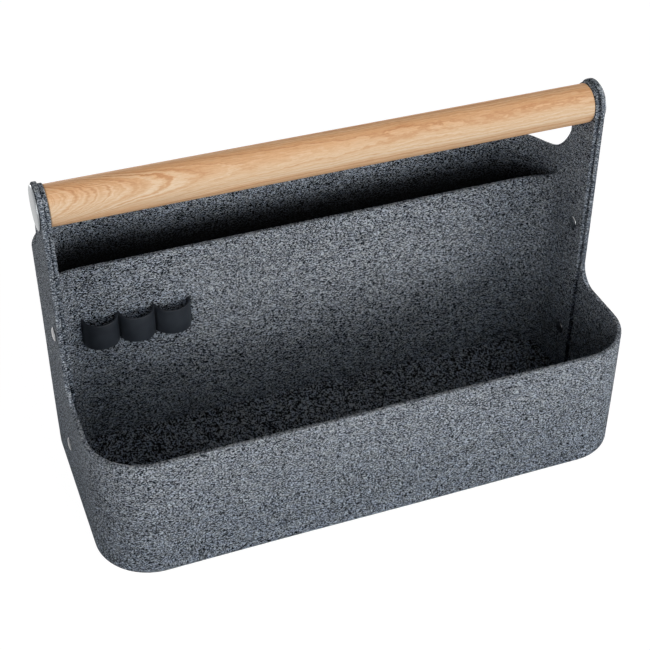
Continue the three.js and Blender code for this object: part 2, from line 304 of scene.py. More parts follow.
def inside(points, loop):
    hit = np.zeros(len(points), bool)
    for a, b in zip(loop, np.roll(loop, -1, 0)):
        over = (a[1] > points[:, 1]) != (b[1] > points[:, 1])
        crossing = a[0] + (points[:, 1] - a[1]) / (b[1] - a[1] + 1e-30) * (b[0] - a[0])
        hit ^= over & (points[:, 0] < crossing)
    return hit


def on_sheet(points, loops):
    keep = inside(points, loops[0])
    for hole in loops[1:]:
        keep &= ~inside(points, hole)
    return keep


def scattered(loops, step, seed):
    low, high = loops[0].min(0), loops[0].max(0)
    rows = np.arange(low[1], high[1], step * ROW_SHARE)
    columns = np.arange(low[0], high[0], step)
    grid = np.array([(x + (j % 2) * step / 2, y) for j, y in enumerate(rows) for x in columns])
    grid += np.random.default_rng(seed).uniform(-NUDGE, NUDGE, grid.shape) * step
    grid = grid[on_sheet(grid, loops)]
    clear = np.ones(len(grid), bool)
    for loop in loops:
        for a, b in zip(loop, np.roll(loop, -1, 0)):
            beside = np.abs(grid - (a + b) / 2) < step + np.abs(b - a) / 2
            near = np.flatnonzero(beside.all(1))
            part = np.clip(((grid[near] - a) @ (b - a)) / ((b - a) @ (b - a)), 0, 1)
            away = np.linalg.norm(grid[near] - a - part[:, None] * (b - a), axis=1)
            clear[near[away < CLEARANCE * step]] = False
    return grid[clear]


def filled(loops, extra):
    points = np.concatenate([*loops, extra])
    edges, start = [], 0
    for loop in loops:
        edges += [(start + i, start + (i + 1) % len(loop)) for i in range(len(loop))]
        start += len(loop)
    found = delaunay_2d_cdt([Vector(p) for p in points], edges, [], 1, WELD_DISTANCE)
    source = [min(ids) for ids in found[3]]
    triangles = np.array([[source[i] for i in face] for face in found[2]])
    return triangles[on_sheet(points[triangles].mean(1), loops)]


print("triangles in the trial square:", len(filled([trial], scattered([trial], 3, 0))))

# %% [markdown]
# ## From an outline to a solid sheet
#
# `cut_sheet` joins the rows of the cut edge to the two faces. For the finish it also
# hands back, point by point, how far out on a cut edge a point lies and whether it is
# on the inner side. `place` says where a flat point ends up in space, so one helper
# serves the rolled walls, the flat floor and the loops.

# %% Build a sheet with rounded cut edges
RIM_ROWS = 5


def cut_sheet(outline, holes, thickness, place, rim, step, seed, seams=None):
    loops = [outline, *holes]
    cuts = [np.ones(len(loop)) for loop in loops]
    if seams is not None:
        cuts[0] = 1 - seams
    turn = np.linspace(0, math.pi / 2, RIM_ROWS)
    depths = rim * (1 - np.sin(turn))
    lifts = thickness / 2 - rim * (1 - np.cos(turn))
    rows = [*zip(depths, lifts), *zip(depths[::-1], -lifts[::-1])]
    flat, faces, edge_share, starts = [], [], [], []
    for loop, cut in zip(loops, cuts):
        first = sum(len(f) for f in flat)
        starts.append(first)
        count = len(loop)
        for depth, lift in rows:
            ring = inset(loop, cut, depth)
            flat.append(np.column_stack([ring, np.full(count, lift)]))
            edge_share.append(cut * (1 - depth / rim))
        for row in range(len(rows) - 1):
            a, b = first + row * count, first + (row + 1) * count
            faces += [(a + i, b + i, b + (i + 1) % count, a + (i + 1) % count)
                      for i in range(count) if cut[i]]
    face_loops = [inset(loop, cut, rim) for loop, cut in zip(loops, cuts)]
    extra = scattered(face_loops, step, seed)
    triangles = filled(face_loops, extra)
    for row, lift, flip in ((0, thickness / 2, 1), (len(rows) - 1, -thickness / 2, -1)):
        ids = [np.arange(start + row * len(loop), start + (row + 1) * len(loop))
               for start, loop in zip(starts, loops)]
        first = sum(len(f) for f in flat)
        ids = np.concatenate([*ids, np.arange(first, first + len(extra))])
        flat.append(np.column_stack([extra, np.full(len(extra), lift)]))
        edge_share.append(np.zeros(len(extra)))
        faces += [tuple(t) for t in ids[triangles][:, ::flip]]
    flat = np.concatenate(flat)
    corners = np.concatenate([*face_loops, extra])[triangles]
    (ax, ay), (bx, by) = (corners[:, 1] - corners[:, 0]).T, (corners[:, 2] - corners[:, 0]).T
    area = np.abs(ax * by - ay * bx).sum() / 2
    inner_side = 0.5 - flat[:, 2] / thickness
    return place(*flat.T), faces, np.concatenate(edge_share), inner_side, area


print("rows of points from one face to the other:", 2 * RIM_ROWS)

# %% [markdown]
# ## From points and faces to a piece
#
# Every piece is smoothed in the same way. It rides on the one body there is, because
# nothing on this organizer moves, and the imported part that it stands for is hidden.

# %% Turn points and faces into a piece
def make_piece(name, points, faces, node, weld=0.0, shares=None, smooth=180):
    mesh = bpy.data.meshes.new(name)
    mesh.from_pydata([tuple(p) for p in points], [], [tuple(int(i) for i in f) for f in faces])
    for key, values in (shares or {}).items():
        values = values.astype(np.float32)
        mesh.attributes.new(key, "FLOAT", "POINT").data.foreach_set("value", values)
    work = bmesh.new()
    work.from_mesh(mesh)
    if weld:
        bmesh.ops.remove_doubles(work, verts=work.verts, dist=weld)
    bmesh.ops.recalc_face_normals(work, faces=work.faces)
    work.to_mesh(mesh)
    work.free()
    mesh.shade_smooth()
    mesh.set_sharp_from_angle(angle=math.radians(smooth))
    piece = put_in_scene(name, mesh)
    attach(piece, "root")
    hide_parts(node)
    print(name, "has", len(mesh.polygons), "faces")
    return piece


# %% [markdown]
# ## The tub
#
# One sheet goes all the way round: front wall, side walls with their ears, rear wall.
# A hollow box could be modelled instead, but a sheet cut flat brings its rounded cut
# edges along wherever it bends. The side outline is known by its depth, so each depth
# is looked up as a distance along the left wall, and the right wall mirrors it. The two
# ends of the sheet meet in the middle of the rear wall, where they are welded.

# %% Draw the flat pattern of the tub
WALL_SAMPLES = 6000
SLIVER = 0.01 * MM


def by_depth(along, half_length):
    distance = np.linspace(0, half_length, WALL_SAMPLES)
    depth = along(distance)[0][:, 1]
    order = np.argsort(depth, kind="stable")
    return lambda y: np.interp(y, depth[order], distance[order])


def tub_outline():
    distance_of = by_depth(tub_along, tub_length / 2)
    low, high = shell_low.y + felt / 2 + SLIVER, shell_high.y - felt / 2 - SLIVER
    side = tub_side[(tub_side[:, 0] > low) & (tub_side[:, 0] < high)]
    left = np.column_stack([distance_of(side[:, 0]), side[:, 1]])
    right = np.column_stack([tub_length - left[::-1, 0], left[::-1, 1]])
    top = np.concatenate([[(0, REAR_HEIGHT)], left, right, [(tub_length, REAR_HEIGHT)]])
    corners = np.concatenate([[(0, 0), (tub_length, 0)], top[::-1]])
    loop = stepped(corners, CLOTH_STEP, closed=True)
    upright = np.abs(loop[:, 0] - np.roll(loop, -1, 0)[:, 0]) < 1e-9
    at_an_end = np.abs(loop[:, 0] - tub_length / 2) > 0.499 * tub_length
    return loop, upright & at_an_end


tub_loop, tub_seam = tub_outline()
print("points round the flat pattern of the tub:", len(tub_loop))

# %% [markdown]
# ## Holes in the ears
#
# Both layers of each ear are punched for the two rivets and for the stud of the end
# disc. The holes are loops in the flat pattern like the outline, so they get rounded
# edges too. Each is a little wider than what goes through it.

# %% Punch the ears, then roll the tub
def round_hole(u, z, radius, count=20):
    angle = -np.arange(count) / count * 2 * math.pi
    return np.column_stack([u + radius * np.cos(angle), z + radius * np.sin(angle)])


def middle_of(node):
    low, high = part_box(node)
    return (low + high) / 2


rivet_places = [middle_of(f"rivet_head_left_{level}") for level in ("lower", "upper")]
POST_HOLE = 2.25 * MM
STUD_HOLE = 3.25 * MM


def ear_holes(along, length):
    distance_of = by_depth(along, length / 2)
    holes = []
    posts = [(place.y, place.z, POST_HOLE) for place in rivet_places]
    for mirrored in (False, True):
        for y, z, radius in [*posts, (axis_y, axis_z, STUD_HOLE)]:
            u = distance_of(y)
            holes.append(round_hole(length - u if mirrored else u, z, radius))
    return holes


tub_holes = ear_holes(tub_along, tub_length)
points, faces, cut_edge, inner_side, tub_area = cut_sheet(
    tub_loop, tub_holes, felt, rolled(tub_along), RIM_ROUND, CLOTH_STEP, 1,
    seams=tub_seam.astype(float))
print("holes in the ears of the tub:", len(tub_holes))

# %% [markdown]
# ## The dark pocket
#
# The narrow pocket behind the divider swallows the light: the inner side of the rear
# wall goes from grey at its rim to nearly black where the divider hides it. The finish
# can't know that this side faces a pocket, so the tub carries the shade point by point,
# by height, and it fades in round the corners of the wall.

# %% Write the shade of the pocket on the tub
SEAM_WELD = 1e-6
POCKET_CORNER = 22 * MM
POCKET_HEIGHTS = [137 * MM, 146 * MM, 154 * MM, 168 * MM]
POCKET_SHADES = [0.95, 0.8, 0.44, 0.0]
into_pocket = np.clip((points[:, 1] - panel_high.y) / POCKET_CORNER, 0, 1)
by_height = np.interp(points[:, 2], POCKET_HEIGHTS, POCKET_SHADES)
pocket_shade = inner_side * into_pocket * by_height
tub = make_piece("felt_tub", points, faces, "outer_shell", weld=SEAM_WELD,
                 shares={"cut_edge": cut_edge, "pocket_shade": pocket_shade})
print("points in the shade of the pocket:", int((pocket_shade > 0).sum()))

# %% [markdown]
# ## The divider
#
# The second sheet starts at the front edge of the right flange, bends into the divider
# and ends at the front edge of the left flange. Its ears lie against those of the tub,
# a little smaller, so that two cut edges show side by side round each ear. Four slits
# let the tongues of the pen loops through.

# %% Find the tongues of the pen loops
loops_low, loops_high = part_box("pen_loop_strip")
backing_low, backing_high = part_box("pen_loop_backing")
LOOP_COUNT = 3
LOOP_PITCH = 27 * MM
TONGUE = 2 * MM
SLIT_GAP = 0.25 * MM
loop_left = loops_low.x + TONGUE / 2
loop_right = loop_left + LOOP_COUNT * LOOP_PITCH
tongue_x = [loop_left + TONGUE / 2, loop_left + LOOP_PITCH, loop_left + 2 * LOOP_PITCH,
            loop_right - TONGUE / 2]
print("tongues at x in mm:", [round(x / MM, 1) for x in tongue_x])

# %% Draw the flat pattern of the divider
panel_x, panel_y = panel_high.x - felt / 2, panel_high.y - felt / 2
panel_r = DIVIDER_BEND - felt / 2
turn_x, turn_y = panel_x - panel_r, panel_y - panel_r
panel_length, panel_along = plan_run([
    straight((panel_x, panel_low.y), (panel_x, turn_y)), bend((turn_x, turn_y), panel_r, 0),
    straight((turn_x, panel_y), (-turn_x, panel_y)), bend((-turn_x, turn_y), panel_r, 90),
    straight((-panel_x, turn_y), (-panel_x, panel_low.y)),
])


def panel_outline():
    distance_of = by_depth(panel_along, panel_length / 2)
    side = rounded([
        (panel_low.y, panel_low.z, 0),
        (panel_low.y, axis_z + inner_ear, inner_ear),
        (axis_y + inner_ear, axis_z + inner_ear, inner_ear),
        (axis_y + inner_ear, DIVIDER_HEIGHT, DIVIDER_HOLLOW),
        (panel_high.y + DIVIDER_HOLLOW, DIVIDER_HEIGHT, 0),
    ], ARC_STEP)
    falling = np.argmax(side[:, 1])
    level = np.interp(panel_y, side[falling:, 0], side[falling:, 1])
    side = side[side[:, 0] < panel_y - SLIVER]
    right = np.column_stack([distance_of(side[:, 0]), side[:, 1]])
    top = np.concatenate([right, [(distance_of(panel_y - SLIVER / 10), level)]])
    mirrored = np.column_stack([panel_length - top[::-1, 0], top[::-1, 1]])
    corners = np.concatenate([top, mirrored])[::-1]
    return stepped(corners, CLOTH_STEP, closed=True)


print("length of felt in the divider:", round(panel_length, 4), "m")

# %% [markdown]
# ## Slits for the pen loops
#
# The tongues of the pen loops go through narrow upright slits. A boolean cut through
# the bent sheet would leave ragged triangles, so each slit is a hole in the flat
# pattern, a little wider than its tongue, and is bent with the rest.

# %% Cut the slits and bend the divider
SLIT_ROUND = 0.3 * MM
SLIT_ARC_STEP = 0.2 * MM


def slit(u):
    half = TONGUE / 2 + SLIT_GAP
    low, high = loops_low.z - SLIT_GAP, loops_high.z + SLIT_GAP
    corners = rectangle(u - half, low, u + half, high, SLIT_ROUND)
    corners = [corners[0], *corners[:0:-1]]
    return stepped(rounded(corners, SLIT_ARC_STEP, closed=True), CLOTH_STEP, closed=True)


slits = [slit(panel_length / 2 - x) for x in tongue_x]
points, faces, cut_edge, _, panel_area = cut_sheet(
    panel_outline(), [*ear_holes(panel_along, panel_length), *slits], felt,
    rolled(panel_along), RIM_ROUND, CLOTH_STEP, 2)
panel = make_piece("felt_divider", points, faces, "inner_panel",
                   shares={"cut_edge": cut_edge})

# %% [markdown]
# ## The floor sheet
#
# The third sheet lies flat inside the tub, level with its lower edge. It needs no
# rolling, only the same rounded cut edge. The real one is glued in, so it is cut a
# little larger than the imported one, up to the wall, and no light comes up beside it.

# %% Cut the floor sheet
def lying(bottom, thickness):
    return lambda u, v, w: np.column_stack([u, v, bottom + thickness / 2 + w])


GLUED = 0.28 * MM
base_right, base_back = base_high.x + GLUED, base_high.y + GLUED
base_round = CORNER_RADIUS - (shell_high.x - base_right)
base_corners = rectangle(-base_right, -base_back, base_right, base_back, base_round)
base_loop = stepped(rounded(base_corners, CLOTH_STEP, closed=True), CLOTH_STEP, closed=True)
points, faces, cut_edge, _, base_area = cut_sheet(
    base_loop, [], felt, lying(base_low.z, felt), RIM_ROUND, 2 * CLOTH_STEP, 3)
floor_sheet = make_piece("felt_floor", points, faces, "base_panel",
                         shares={"cut_edge": cut_edge})

# %% [markdown]
# ## Areas of the flat patterns
#
# The area of each felt piece as cut flat is printed.

print("flat areas in square metres:", [round(a, 4) for a in (tub_area, panel_area, base_area)])

# %% [markdown]
# ## Turned parts
#
# The dowel, the discs and the rivets are all bodies of revolution about lines along X.
# A lathe outline with small arcs at its corners is closer to a turned or pressed part
# than a cylinder, because every real edge is broken and shows as a thin highlight.

# %% Make a lathe
def lathe(outline, segments, y, z):
    angle = np.arange(segments) / segments * 2 * math.pi
    points, rings = [], []
    for x, radius in outline:
        first = len(points)
        if radius < 1e-9:
            points.append((x, y, z))
            rings.append([first] * segments)
        else:
            points += [(x, y + radius * math.cos(a), z + radius * math.sin(a)) for a in angle]
            rings.append(list(range(first, first + segments)))
    faces = []
    for a, b in zip(rings, rings[1:]):
        for i in range(segments):
            j = (i + 1) % segments
            face = list(dict.fromkeys([a[i], b[i], b[j], a[j]]))
            if len(face) > 2:
                faces.append(face)
    return points, faces


def sided(outline, side):
    return [(side * x, radius) for x, radius in outline]


print("points of a turned cone of 8 segments:", len(lathe([(0, 1), (1, 0)], 8, 0, 0)[0]))

# %% [markdown]
# ## The dowel
#
# The handle is a plain dowel with broken edges and a bore at each end for a threaded
# sleeve. Half its outline is drawn and mirrored. Rings every few millimetres keep the
# faces short, which shades more evenly than faces as long as the dowel.

# %% Turn the dowel
bar_low, bar_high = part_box("handle_bar")
sleeve_low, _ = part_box("handle_insert_right")
bar_radius = (bar_high.z - bar_low.z) / 2
BAR_EDGE = 0.9 * MM
BORE = 5.25 * MM
BORE_EDGE = 0.2 * MM
BORE_RELIEF = 0.2 * MM
RING_STEP = 8 * MM
SMOOTH_UNDER = 50
bore_end = sleeve_low.x - BORE_RELIEF
half_bar = rounded([
    (0, bar_radius, 0), (bar_high.x, bar_radius, BAR_EDGE), (bar_high.x, BORE, BORE_EDGE),
    (bore_end, BORE, 0), (bore_end, 0, 0),
], 0.2 * MM)
rings = [(x, bar_radius) for x in np.arange(0, bar_high.x - RING_STEP / 2, RING_STEP)]
half_bar = np.concatenate([rings, half_bar[1:]])
dowel_outline = [*[(-x, r) for x, r in half_bar[::-1]], *[tuple(p) for p in half_bar[1:]]]
points, faces = lathe(dowel_outline, 128, axis_y, axis_z)
dowel = make_piece("handle_dowel", points, faces, "handle_bar",
                   smooth=SMOOTH_UNDER)

# %% [markdown]
# ## The end discs
#
# A disc is a thin crowned plate with a soft rim, in one piece with its threaded stud. A
# plain cylinder would stay flat and dull in the light. Bright metal shows its form by
# the arcs of light along its rim, so the rim and the crown are both drawn.

# %% Turn the discs
STUD = 3 * MM
STUD_TIP = 0.8 * MM
DISC_SEAT = 0.1 * MM
DISC_RIM = 1.3 * MM
DISC_BREAK = 0.35 * MM
DISC_ROUND = 0.7 * MM
CROWN_FROM = 0.93


def reach_of(node):
    low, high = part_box(node)
    return (*sorted((abs(low.x), abs(high.x))), (high.z - low.z) / 2)


def disc_outline(node, side):
    tip, face, radius = reach_of(node)
    seat = shell_high.x + DISC_SEAT
    front = seat + DISC_RIM
    rim = rounded([
        (tip, 0, 0), (tip, STUD, STUD_TIP), (seat, STUD, 0), (seat, radius, DISC_BREAK),
        (front, radius, DISC_ROUND), (front, 0.9 * radius, 0),
    ], 0.1 * MM)
    crown = [(front + (face - front) * (1 - t * t), radius * t)
             for t in np.linspace(CROWN_FROM, 0, 14)]
    return sided([*rim[:-1], *crown], side)


discs = []
for label, side in (("left", -1), ("right", 1)):
    node = f"handle_disc_{label}"
    points, faces = lathe(disc_outline(node, side), 96, axis_y, axis_z)
    discs.append(make_piece(f"end_disc_{label}", points, faces, node,
                            smooth=SMOOTH_UNDER))

# %% [markdown]
# ## The rivets
#
# Two rivets hold both layers of felt at each ear. The head outside carries a post that
# goes through both layers into a socket in the cap inside. Both are low domes with a
# short skirt. A squashed ball would have a sharp rim, so they are turned like the discs.

# %% Press the rivets
POST = 2 * MM
SOCKET = POST + 0.2 * MM
SOCKET_DEPTH = 1 * MM
HEAD_SEAT = 0.05 * MM
SKIRT = 0.35 * MM
SKIRT_TUCK = 0.15 * MM


def dome(base, top, radius):
    rise = top - base
    turn = np.linspace(0, math.pi / 2, 10)[:-1]
    return [*[(base + rise * math.sin(t), radius * math.cos(t)) for t in turn], (top, 0)]


def head_outline(node, side):
    near, far, radius = reach_of(node)
    seat = shell_high.x + HEAD_SEAT
    return sided([(near, 0), (near, POST), (seat, POST), (seat, radius - SKIRT_TUCK),
                  *dome(seat + SKIRT, far, radius)], side)


def cap_outline(node, side):
    near, far, radius = reach_of(node)
    end = far - SOCKET_DEPTH
    return sided([(end, 0), (end, SOCKET), (far, SOCKET), (far, radius - SKIRT_TUCK),
                  *dome(far - SKIRT, near, radius)], side)


rivets = []
for label, side in (("left", -1), ("right", 1)):
    for level, middle in zip(("lower", "upper"), rivet_places):
        for kind, outline in (("head", head_outline), ("cap", cap_outline)):
            node = f"rivet_{kind}_{label}_{level}"
            points, faces = lathe(outline(node, side), 48, middle.y, middle.z)
            rivets.append(make_piece(f"{node}_pressed", points, faces, node,
                                     smooth=SMOOTH_UNDER))

# %% [markdown]
# ## The pen loops
#
# Three half-oval loops are moulded in one strip of soft black plastic. Between two
# loops the strip runs back through a slit, and its end is flattened behind the
# divider over a backing strip. The whole strip is one outline seen from above, so it is
# cut like a very thick sheet, with a small round along its upper and lower edges.

# %% Draw the loop strip from above
LOOP_BAND = 1.4 * MM
LOOP_GAP = 0.6 * MM
LOOP_SEAT = 0.1 * MM
STAKE = 1 * MM
divider_front = panel_high.y - felt
loop_foot = divider_front - LOOP_SEAT
valley = divider_front - LOOP_BAND
arch_half = (LOOP_PITCH - LOOP_GAP) / 2
arch_reach = loop_foot - loops_low.y
stake_front = loops_high.y - STAKE


def half_oval(middle, half, reach, foot, steps, leftward=False):
    dip = math.asin(min(1, max(0, (loop_foot - foot) / reach)))
    turn = np.linspace(math.pi - dip, dip, steps)
    points = np.column_stack([middle + half * np.cos(turn), loop_foot - reach * np.sin(turn)])
    return points[::-1] if leftward else points


def stake(middle):
    right, left = middle + TONGUE / 2, middle - TONGUE / 2
    far_right, far_left = middle + TONGUE, middle - TONGUE
    return [(right, loop_foot), (right, stake_front), (far_right, stake_front),
            (far_right, loops_high.y), (far_left, loops_high.y),
            (far_left, stake_front), (left, stake_front), (left, loop_foot)]


def strip_outline():
    middles = [loop_left + (i + 0.5) * LOOP_PITCH for i in range(LOOP_COUNT)]
    chain = [(loop_left, valley)]
    for middle in middles:
        chain += list(half_oval(middle, arch_half, arch_reach, valley, 40))
    chain.append((loop_right, valley))
    chain += stake(tongue_x[-1])[1:]
    for i in reversed(range(LOOP_COUNT)):
        chain += list(half_oval(middles[i], arch_half - LOOP_BAND, arch_reach - LOOP_BAND,
                                loop_foot, 36, leftward=True))
        chain += stake(tongue_x[i]) if i else stake(tongue_x[0])[:-1]
    return np.array(chain)


strip_loop = stepped(strip_outline(), 2 * MM, closed=True)
print("points round the loop strip:", len(strip_loop))

# %% Mould the loop strip
MOULD_ROUND = 0.3 * MM
MOULD_SMOOTH = 60
strip_rise = loops_high.z - loops_low.z
points, faces, *_ = cut_sheet(
    strip_loop, [], strip_rise, lying(loops_low.z, strip_rise), MOULD_ROUND, 1.5 * MM, 4)
loop_strip = make_piece("pen_loops", points, faces, "pen_loop_strip",
                        smooth=MOULD_SMOOTH)

# %% [markdown]
# ## The backing strip
#
# Without a backing the tongues would pull through the felt. The strip stands upright
# behind the divider, so it is cut flat with four slits and set on its edge.

# %% Cut the backing strip
BACKING_ROUND = 4 * MM
backing = backing_high.y - backing_low.y


def standing(front, thickness):
    return lambda u, z, w: np.column_stack([u, front + thickness / 2 - w, z])


corners = rectangle(
    backing_low.x, backing_low.z, backing_high.x, backing_high.z, BACKING_ROUND)
backing_loop = stepped(rounded(corners, 0.8 * MM, closed=True), CLOTH_STEP, closed=True)
points, faces, *_ = cut_sheet(
    backing_loop, [slit(x) for x in tongue_x], backing, standing(backing_low.y, backing),
    MOULD_ROUND, CLOTH_STEP, 5)
backing_strip = make_piece("pen_loop_backing_strip", points, faces,
                           "pen_loop_backing", smooth=MOULD_SMOOTH)

# %% [markdown]
# ## Building finishes from nodes
#
# Every finish is a small tree of shader nodes and holds no picture, so it stays sharp
# at any distance and shows no seam. `start_finish` makes a material and hands back its
# Principled shader. `add` makes a node, sets its values and links the sockets that are
# given to it. The rest are short names for the nodes used most.

# %% Start a finish and add nodes to it
def start_finish(name, **values):
    material = bpy.data.materials.new(name)
    material.use_nodes = True
    shader = material.node_tree.nodes["Principled BSDF"]
    for socket, value in values.items():
        shader.inputs[socket.replace("_", " ")].default_value = value
    return material, shader


def add(shader, kind, inputs=(), output=0, **settings):
    tree = shader.id_data
    made = tree.nodes.new(kind)
    for name, value in settings.items():
        setattr(made, name, value)
    for key, value in dict(inputs).items():
        if isinstance(value, bpy.types.NodeSocket):
            tree.links.new(value, made.inputs[key])
        else:
            made.inputs[key].default_value = value
    return made.outputs[output]


def link(shader, source, socket):
    shader.id_data.links.new(source, shader.inputs[socket])


print("helpers for a finish:", [helper.__name__ for helper in (start_finish, add, link)])

# %% Name the nodes used most
def maths(shader, operation, a, b=0.0, clamp=False):
    return add(shader, "ShaderNodeMath", {0: a, 1: b}, operation=operation, use_clamp=clamp)


def plus(shader, a, b, clamp=False):
    return maths(shader, "ADD", a, b, clamp)


def minus(shader, a, b, clamp=False):
    return maths(shader, "SUBTRACT", a, b, clamp)


def times(shader, a, b):
    return maths(shader, "MULTIPLY", a, b)


def swung(shader, value, swing):
    return times(shader, minus(shader, value, 0.5), swing)


def own_place(shader):
    return add(shader, "ShaderNodeTexCoord", output=3)


def noise(shader, where, scale, detail=2.0, roughness=0.5):
    return add(shader, "ShaderNodeTexNoise", {
        "Vector": where, "Scale": scale, "Detail": detail, "Roughness": roughness})


def stretch(shader, where, scale, shift=(0, 0, 0)):
    return add(shader, "ShaderNodeMapping", {"Vector": where, "Scale": scale, "Location": shift})


def blend(shader, amount, first, second, mode="MIX"):
    return add(shader, "ShaderNodeMix", {0: amount, 6: first, 7: second}, output=2,
               data_type="RGBA", blend_type=mode)


def levels(shader, value, stops):
    made = add(shader, "ShaderNodeValToRGB", {0: value})
    ramp = made.node.color_ramp
    for i, (place, colour) in enumerate(stops):
        stop = ramp.elements[i] if i < 2 else ramp.elements.new(place)
        stop.position = place
        stop.color = (*colour, 1)
    return made


def roughen(shader, height, strength, distance):
    bump = add(shader, "ShaderNodeBump", {
        "Height": height, "Strength": strength, "Distance": distance})
    link(shader, bump, "Normal")


helpers = (maths, swung, noise, stretch, blend, levels, roughen)
print("short names for nodes:", [helper.__name__ for helper in helpers])

# %% [markdown]
# ## Heather felt: the fibres
#
# Heather felt is pressed from charcoal and pale grey fibres. Close up it is a tangle
# of short wiggly hairs, a millimetre or so apart, that lie mostly along the roll. A
# layer of hairs is a noise whose middle value is picked out as a thin line, which
# gives wandering threads, and stretching the noise combs them along the roll. A pale,
# a dark and a faint pale layer cross each other over a fine noise of clumps, and a
# broad noise makes whole patches a little darker or paler.

# %% Draw threads and clumps
WANDER_SCALE, WANDER_REACH = 300.0, 2.2 * MM
CLUMP_SCALE, CLUMP_SWING = 820.0, 6.0
CLOUD_SCALE, CLOUD_SWING = 60.0, 0.5
HAIR_WIDTH, HAIR_SWING = 0.09, 0.65
LAID_HAIRS = [(560.0, 1.7, 1.0)]
COMBED_HAIRS = [(600.0, 5.3, -1.0), (500.0, 9.1, 0.6)]
COMB = 0.45


def threads(shader, where, scale, seed):
    moved = stretch(shader, where, (1, 1, 1), shift=(seed, 2 * seed, -seed))
    value = noise(shader, moved, scale, detail=1.5, roughness=0.6)
    off = maths(shader, "ABSOLUTE", minus(shader, value, 0.5))
    far = maths(shader, "DIVIDE", off, HAIR_WIDTH, clamp=True)
    return minus(shader, 1.0, far, clamp=True)


def wandering(shader, place):
    drift = add(shader, "ShaderNodeTexNoise", {
        "Vector": place, "Scale": WANDER_SCALE, "Detail": 1.0}, output=1)
    drift = add(shader, "ShaderNodeVectorMath", {0: drift, 1: (0.5, 0.5, 0.5)},
                operation="SUBTRACT")
    drift = add(shader, "ShaderNodeVectorMath", {0: drift, "Scale": WANDER_REACH},
                operation="SCALE")
    return add(shader, "ShaderNodeVectorMath", {0: place, 1: drift}, operation="ADD")


def fibre_tone(shader, place, lay, swing):
    loose = wandering(shader, place)
    laid = stretch(shader, loose, lay)
    combed = stretch(shader, loose, [v * (COMB if v <= 1 else 1) for v in lay])
    clumps = noise(shader, laid, CLUMP_SCALE, detail=1.0, roughness=0.6)
    tone = swung(shader, clumps, CLUMP_SWING * swing)
    for where, hairs in ((laid, LAID_HAIRS), (combed, COMBED_HAIRS)):
        for scale, seed, weight in hairs:
            hair = threads(shader, where, scale, seed)
            hair = times(shader, hair, weight * HAIR_SWING * swing)
            tone = plus(shader, tone, hair)
    cloud = noise(shader, stretch(shader, place, lay), CLOUD_SCALE, detail=3.0, roughness=0.6)
    return plus(shader, tone, swung(shader, cloud, CLOUD_SWING))


print("layers of hairs in the felt:", len(LAID_HAIRS + COMBED_HAIRS))

# %% [markdown]
# ## Heather felt: the cut edges
#
# On a cut edge the ends of the fibres show, finer and paler than their sides. The sheet
# says where its cut edges are, so the pattern is calmed and lifted a little there. Low
# lamps leave the edges that face up in the dark, so those are lifted more, and the top
# of the divider stands out crisply against the pocket.

# %% Calm the fibres along cut edges
EDGE_CALM = 0.6
EDGE_LIFT = 0.07
UPPER_EDGE = 0.25


def calm_edges(shader, tone):
    cut = add(shader, "ShaderNodeAttribute", output=2, attribute_name="cut_edge")
    calm = minus(shader, 1.0, times(shader, cut, EDGE_CALM))
    tone = times(shader, tone, calm)
    tone = plus(shader, tone, times(shader, cut, EDGE_LIFT))
    normal = add(shader, "ShaderNodeNewGeometry", output=1)
    up = add(shader, "ShaderNodeSeparateXYZ", {0: normal}, output=2)
    upward = times(shader, cut, maths(shader, "MAXIMUM", up, 0.0))
    return plus(shader, tone, times(shader, upward, UPPER_EDGE))


print("a cut edge keeps", round(100 * (1 - EDGE_CALM)), "per cent of the contrast")

# %% [markdown]
# ## Heather felt: colour and painted shade
#
# The tone is read by a ramp from near black to pale grey, and a broad noise shifts the
# hue a little from patch to patch. Deep inside the real organizer the felt looks darker
# and its fibres stand out more than lamps alone can show, so shade is painted into the
# colour there. An Ambient Occlusion node tells how closed in a point is, and a gamma
# that grows with it darkens the dark fibres more than the pale ones: a painted shade in
# corners, recesses and between the sheets. A gamma leaves 1 as it is, so the colours are
# first divided by the palest one and multiplied back at the end. There the painted shade
# of the pocket comes in too, which only the tub carries.

# %% Make the felt
TONE_MIDDLE = 0.38
HEATHER = [
    (0.0, (0.002, 0.005, 0.011)), (0.25, (0.041, 0.054, 0.071)), (0.45, (0.111, 0.132, 0.159)),
    (0.7, (0.264, 0.294, 0.331)), (1.0, (0.78, 0.83, 0.89)),
]
PALEST = 0.9
TINT_SCALE = 210.0
TINTS = [(0.35, (1.0, 1.0, 0.985)), (0.65, (0.975, 1.0, 1.05))]
# these two set how far and how strongly shade is painted into closed-in felt
AIR_REACH = 120 * MM
OCCLUSION_SHADE_SWING = 1.5
FELT_BUMP, FELT_BUMP_HEIGHT = 0.5, 0.4 * MM


